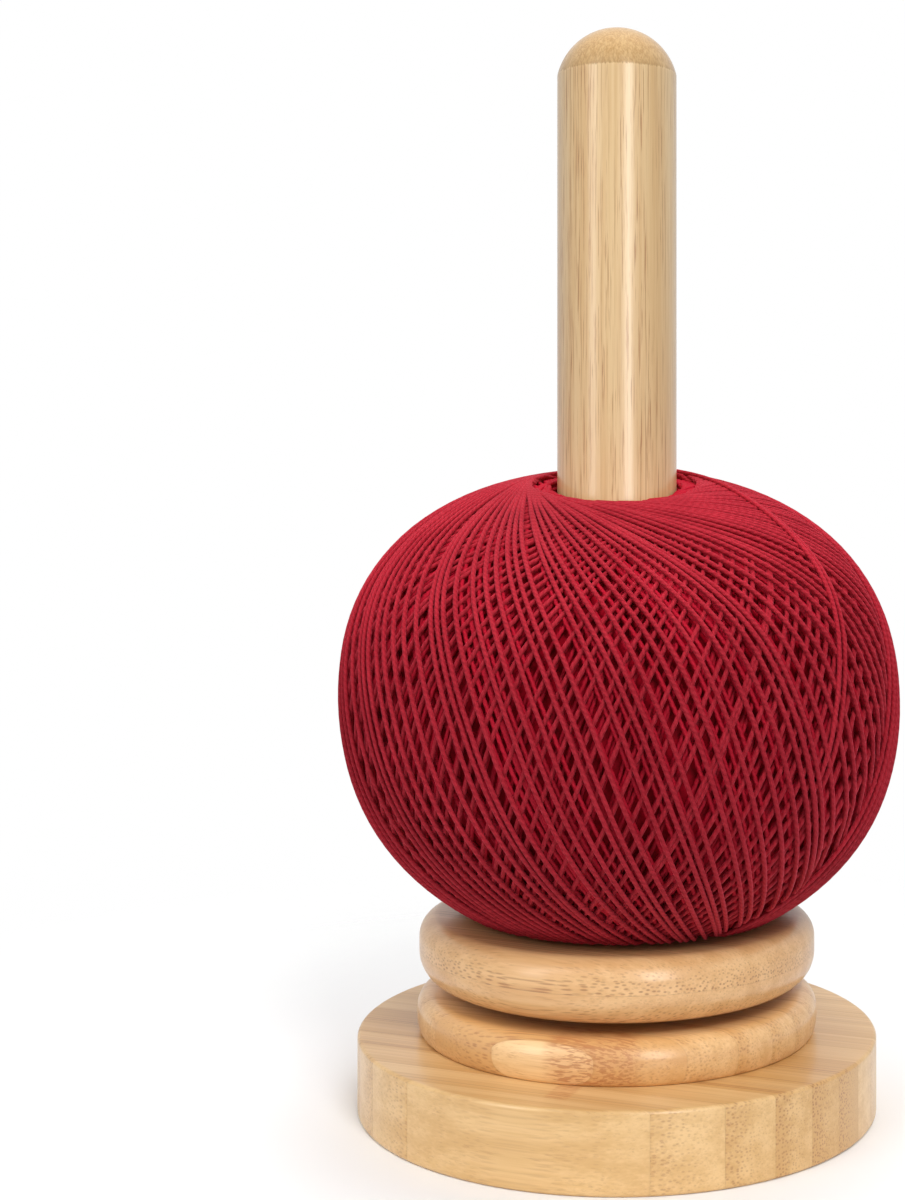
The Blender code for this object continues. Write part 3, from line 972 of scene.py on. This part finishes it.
    def winding_tree(self, values: dict[str, object]) -> tuple[bpy.types.NodeTree, dict[str, str]]:
        """Draws the node tree that winds one layer.

        Args:
            values: What goes into its inputs, by their names.

        Returns:
            The tree, and each input's identifier by its name.
        """
        tree = bpy.data.node_groups.new("winding", "GeometryNodeTree")
        keys = {
            name: tree.interface.new_socket(name=name, in_out="INPUT", socket_type=SOCKETS[type(value)]).identifier
            for name, value in values.items()
        }
        tree.interface.new_socket(name="Geometry", in_out="OUTPUT", socket_type="NodeSocketGeometry")
        sketch = Sketch(tree)
        given = {s.name: Term(sketch, s) for s in sketch.add("NodeGroupInput").outputs if s.name in values}
        index = sketch.result("GeometryNodeInputIndex", {})
        line = sketch.result("GeometryNodeMeshLine", {"Count": given["laid"] * given["points"] + 1})
        turns = index / given["points"] + given["first"]
        route = self.route(turns, given)
        laid = sketch.result("GeometryNodeSetPosition", {"Geometry": line, "Position": route})
        marked = self.store(laid, "run", turns * (2 * math.pi * self.radius / MM))
        thread = sketch.result("GeometryNodeMeshToCurve", {"Mesh": marked})
        size = {"Resolution": given["sides"], "Radius": given["thread_radius"]}
        section = sketch.result("GeometryNodeCurvePrimitiveCircle", size)
        corner = index / given["sides"] * (4 * math.pi)
        section = self.store(section, "round_x", corner.apply("COSINE"))
        section = self.store(section, "round_y", corner.apply("SINE"))
        swept = {"Curve": thread, "Profile Curve": section, "Fill Caps": True}
        tube = sketch.result("GeometryNodeCurveToMesh", swept)
        real = sketch.result("GeometryNodeRealizeInstances", {"Geometry": tube})
        dressed = sketch.result("GeometryNodeSetMaterial", {"Geometry": real, "Material": given["material"]})
        sketch.add("NodeGroupOutput", {0: dressed})
        return tree, keys

    @staticmethod
    def store(shape: Term, name: str, value: Number) -> Term:
        """Keeps a number on each point of a shape, as an attribute of some name."""
        inputs = {"Geometry": shape, "Name": name, "Value": value}
        return shape.sketch.result("GeometryNodeStoreNamedAttribute", inputs, data_type="FLOAT", domain="POINT")

    def gathered(self, turns: Term, given: dict[str, Term]) -> Term:
        """How many even steps round the ball each turn has gone, with the bundles that loops gather into.

        Args:
            turns: How many turns have been wound so far.
            given: The tree's inputs.

        Returns:
            The steps.
        """
        steps = turns + self.stray(turns, self.quick_stray, given["seed"])
        steps = steps + self.stray(turns, self.slow_stray, given["seed"] * -1.0)
        for place, reach, pull in self.bundles:
            away = turns - given["loops"] * place
            near = (away / reach * (away / reach) * -1.0).apply("EXPONENT")
            steps = steps - away * near * pull
        return steps

    @staticmethod
    def stray(turns: Term, how: Pair, seed: Term) -> Term:
        """How far loops stray, by how often in a turn and how far."""
        return (turns * how[0] + seed).noise() * how[1]

    def route(self, turns: Term, given: dict[str, Term]) -> Term:
        """The thread's centreline: leaning turns that each go round a little further than the last.

        Args:
            turns: How many turns have been wound so far.
            given: The tree's inputs.

        Returns:
            The place.
        """
        sweep = (turns - turns.apply("FLOOR")) * (2 * math.pi)
        azimuth = given["start"] - self.gathered(turns, given) / given["loops"] * (2 * math.pi)
        order = turns / given["loops"]
        lean = given["tilt"] + order.ramp(*self.early_share, self.early_lean, 0.0)
        tilt = lean + self.stray(turns, self.lean_stray, given["seed"] * -1.0)
        rise = tilt.apply("COSINE") * sweep.apply("COSINE")
        crest = given["crest"]
        level = rise.apply("ARCSINE") / (math.pi / 2 - lean) * crest
        level = level.apply("MINIMUM", crest + self.over_mouth).apply("MAXIMUM", -self.over_mouth - crest)
        ahead = sweep.apply("SINE").apply("ARCTAN2", tilt.apply("SINE") * sweep.apply("COSINE"))
        azimuth = azimuth + given["drift"] * ahead.ramp(*self.drift_span, 1.0, 0.0)
        depth = given["inset"] + self.under(order, ahead) * given["crossing_step"]
        depth = depth + given["dive"] * level.ramp(*self.dive_span, 1.0, 0.0)
        return self.on_ball(azimuth + ahead, level, depth)

    def under(self, order: Term, ahead: Term) -> Term:
        """Whether a strand lies under the one it crosses, because that one was laid later.

        Args:
            order: When the strand was laid, from 0 for the first loop to 1 for the last.
            ahead: How far round the ball it is from its loop's crest, and below 0 where it climbs.

        Returns:
            1 where it lies under, and 0 where it lies on top.
        """
        apart = ahead.apply("ABSOLUTE") / math.pi
        limit = apart + ahead.apply("LESS_THAN", 0.0) * (1.0 - apart * 2.0)
        return (order - limit).ramp(-self.crossing_share, self.crossing_share, 1.0, 0.0)

    def skin(self, cosine: Number, sine: Number, swell: Number, upper: Number, depth: Number) -> tuple[Number, Number]:
        """The ball's section, for the node tree and for the heart's plain numbers alike.

        Args:
            cosine: The cosine of the angle above the ball's middle.
            sine: Its sine.
            swell: How much of the fullness the skin has there, from 0 to 1.
            upper: 1 in the upper half, and 0 in the lower.
            depth: How deep under the skin the place lies.

        Returns:
            The place's radius, and its height above the middle.
        """
        side = [swell * share + 1.0 for share in self.side_fullness]
        end = [swell * share + 1.0 for share in self.end_fullness]
        radius = (self.radius - depth) * cosine * (side[0] + upper * (side[1] - side[0]))
        half = (self.low_half - depth) * end[0]
        half = half + upper * ((self.high_half - depth) * end[1] - half)
        return radius, half * sine

    def on_ball(self, bearing: Term, level: Term, depth: Term) -> Term:
        """A place under the ball's skin.

        Args:
            bearing: The angle round the ball.
            level: The angle above its middle.
            depth: How deep the place lies.

        Returns:
            The place.
        """
        swell = (level * 2.0).apply("SINE")
        cosine, sine, upper = level.apply("COSINE"), level.apply("SINE"), level.ramp(-self.seam, self.seam)
        radius, height = self.skin(cosine, sine, swell * swell, upper, depth)
        height = (height + self.centre).apply("SMOOTH_MAX", depth + self.low.z, self.foot_round)
        x, y = radius * bearing.apply("COSINE"), radius * bearing.apply("SINE")
        leaning = y.apply("MINIMUM", 0.0) * self.lean_front[0] + y.apply("MAXIMUM", 0.0) * self.lean_front[1]
        height = height + leaning * level.ramp(self.lean_from, self.crest)
        x = x - (height - self.centre) * self.lean_left + self.shift
        return level.sketch.vector(x, y, height)

    def heart(self) -> Shape:
        """The body of thread under the layers, dark red with painted shade, with its mouth and its bore round the
        spindle.

        Returns:
            The shape.
        """
        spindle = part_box("spindle")
        bore = (spindle[1].x - spindle[0].x) / 2 + self.heart_clearance
        side: Outline = []
        for i in range(2 * self.heart_segments + 1):
            level = self.crest * (1 - i / self.heart_segments)
            swell = math.sin(2 * level) ** 2
            radius, height = self.skin(math.cos(level), math.sin(level), swell, int(level > 0), self.heart_inset)
            side.append((radius, max(self.centre + height, self.low.z + self.heart_inset)))
        outline = [(bore, side[0][1] - self.mouth_depth), *side, (bore, side[-1][1])]
        shape = turned(outline, self.heart_steps, True)
        for vert in shape.verts:
            share = max(0.0, min(1.0, (vert.co.z - self.centre) / self.high_half))
            vert.co.z += vert.co.y * share**2 * self.lean_front[vert.co.y > 0.0]
            vert.co.x -= (vert.co.z - self.centre) * self.lean_left
        return shape


@dataclass
class Studio:
    """The pale floor, the soft lights and the camera.

    Two tall strips show only in the lacquer, and the three soft lights only in what they light.
    """

    distance: float = 361.9 * MM
    eye_height: float = 121.5 * MM
    lens: float = 55.8
    sensor: float = 36.0
    nearest: float = 10.0 * MM
    shift: Pair = (-0.137, -0.105)
    floor_size: float = 1.2
    fade: Pair = (0.045, 0.22)
    surround: Pair = (0.05, 0.44)
    shine: float = 0.80
    faced: float = 90.0 * MM

    def build(self) -> None:
        """Sets up the studio."""
        self.build_floor()
        self.build_world()
        for name, place, faced, size, power, hidden in (
            ("key_light", (0.28, -0.80, 0.92), self.faced, (0.4, 0.4), 8.0, "visible_glossy"),
            ("fill_light", (-0.70, -0.70, 0.80), self.faced, (0.7, 0.7), 4.9, "visible_glossy"),
            ("top_light", (0.1, 0.25, 1.2), self.faced, (0.6, 0.6), 7.4, "visible_glossy"),
            ("key_strip", (0.32, -0.80, 0.35), 0.35, (0.22, 0.8), 3.6, "visible_diffuse"),
            ("fill_strip", (-0.70, -0.66, 0.35), 0.35, (0.22, 0.8), 2.2, "visible_diffuse"),
        ):
            setattr(self.softbox(name, place, faced, size, power), hidden, False)
        self.build_camera()

    def build_floor(self) -> None:
        """The floor that the holder stands on."""
        shape = bmesh.new()
        bmesh.ops.create_grid(shape, x_segments=1, y_segments=1, size=self.floor_size / 2)
        material, shader, sketch = new_material("studio_floor", {"Roughness": 0.7, "Base Color": (0.88, 0.88, 0.88)})
        x, y, _ = sketch.parts(sketch.add("ShaderNodeTexCoord").outputs["Object"])
        open_share = (x * x + y * y).apply("SQRT").ramp(*self.fade)
        clear = sketch.result("ShaderNodeBsdfTransparent", {})
        surface = sketch.result("ShaderNodeMixShader", {0: open_share, 1: shader.outputs[0], 2: clear})
        sketch.fill(material.node_tree.nodes["Material Output"], {"Surface": surface})
        finished("studio_floor", shape, material)

    def build_world(self) -> None:
        """A white surround, which lights the holder less than it shows, and more from above than from below."""
        world = bpy.data.worlds.new("studio")
        world.use_nodes = True
        sketch = Sketch(world.node_tree)
        path = sketch.add("ShaderNodeLightPath").outputs
        seen, mirrored = Term(sketch, path["Is Camera Ray"]), Term(sketch, path["Is Glossy Ray"])
        _, _, up = sketch.parts(sketch.add("ShaderNodeTexCoord").outputs["Generated"])
        soft = up.ramp(-0.35, 0.15, *self.surround)
        strength = seen * (1.0 - soft) + mirrored * (self.shine - soft) + soft
        sketch.fill(world.node_tree.nodes["Background"], {"Color": (1.0, 1.0, 1.0), "Strength": strength})
        bpy.context.scene.world = world
        bpy.context.scene.view_settings.view_transform = "Standard"

    def softbox(self, name: str, place: Point, faced: float, size: Pair, power: float) -> Piece:
        """One rectangular light.

        Args:
            name: The light's name.
            place: Where it hangs.
            faced: The height on the holder's axis that it faces.
            size: Its width and height.
            power: Its power in watts.

        Returns:
            The light's object.
        """
        light = bpy.data.lights.new(name, "AREA")
        light.shape = "RECTANGLE"
        light.size, light.size_y = size
        light.energy = power
        lamp = in_scene(name, light)
        lamp.location = place
        lamp.rotation_euler = (Vector((0.0, 0.0, faced)) - Vector(place)).to_track_quat("-Z", "Y").to_euler()
        return lamp

    def build_camera(self) -> None:
        """A level camera at the photograph's place."""
        lens = bpy.data.cameras.new("camera")
        lens.lens = self.lens
        lens.sensor_width = self.sensor
        lens.sensor_fit = "AUTO"
        lens.shift_x, lens.shift_y = self.shift
        lens.clip_start = self.nearest
        camera = in_scene("camera", lens)
        camera.location = (0.0, -self.distance, self.eye_height)
        camera.rotation_euler = (math.pi / 2, 0.0, 0.0)
        bpy.context.scene.camera = camera


def base_board() -> StaveBoard:
    """The thick board at the bottom.

    Returns:
        The board.
    """
    finish = BambooFinish(
        "base_bamboo", Lay.STAVES, (0.805, 0.54, 0.25), (0.615, 0.355, 0.125), stave_offset=0.5 * MM,
        knot_place=5.5 * MM, knot_reach=2.2 * MM,
    )
    looks = {
        1: StaveLooks(tone=-0.02, dots=0.35),
        2: StaveLooks(tone=-0.12, dots=0.6, knot=0.8),
        3: StaveLooks(tone=0.02, dots=0.75),
        # Staves 4 to 6 meet the side at its right: their deeper tone is partly their own denser bamboo and partly
        # painted shade where the light falls off on the right.
        4: StaveLooks(tone=0.18, dots=0.95),
        5: StaveLooks(tone=0.46, dots=1.1),
        6: StaveLooks(tone=0.72, dots=1.2),
        7: StaveLooks(tone=-0.05, dots=0.15),
    }
    return StaveBoard("base_stave_", "base", "base_bamboo", finish, (0.7 * MM, 0.7 * MM), 6.5 * MM, looks)


def lower_disc() -> StaveBoard:
    """The round-edged disc on the base board.

    Returns:
        The disc.
    """
    finish = BambooFinish(
        # The disc's colour is partly its own more orange bamboo and partly painted light: paler than the base board's,
        # to make up for the shade that the turntable casts over it.
        "lower_disc_bamboo", Lay.STAVES, (0.915, 0.61, 0.30), (0.725, 0.41, 0.16), stave_offset=0.15 * MM,
        knot_place=9.0 * MM, knot_reach=8.0 * MM, fibre=(0.42, 0.165, 0.055), streaks=0.5,
    )
    looks = {
        1: StaveLooks(tone=-0.32, dots=0.1, knot=1.0),
        2: StaveLooks(tone=0.55, dots=0.8, knot=0.9),
        3: StaveLooks(tone=0.05, dots=0.6),
    }
    return StaveBoard(
        "lower_disc_stave_", "base", "disc_bamboo", finish, (3.3 * MM, 1.1 * MM), 6.5 * MM, looks,
        stretch=3.2, seat="base_stave_07",
    )


def main() -> None:
    """Builds the studio and every piece, in order."""
    logging.basicConfig(level=logging.INFO, format="%(name)s: %(message)s")
    Studio().build()
    base_board().build()
    lower_disc().build()
    Turntable().build()
    Dowels().build()
    ThreadBall().build()


if __name__ == "__main__":
    main()
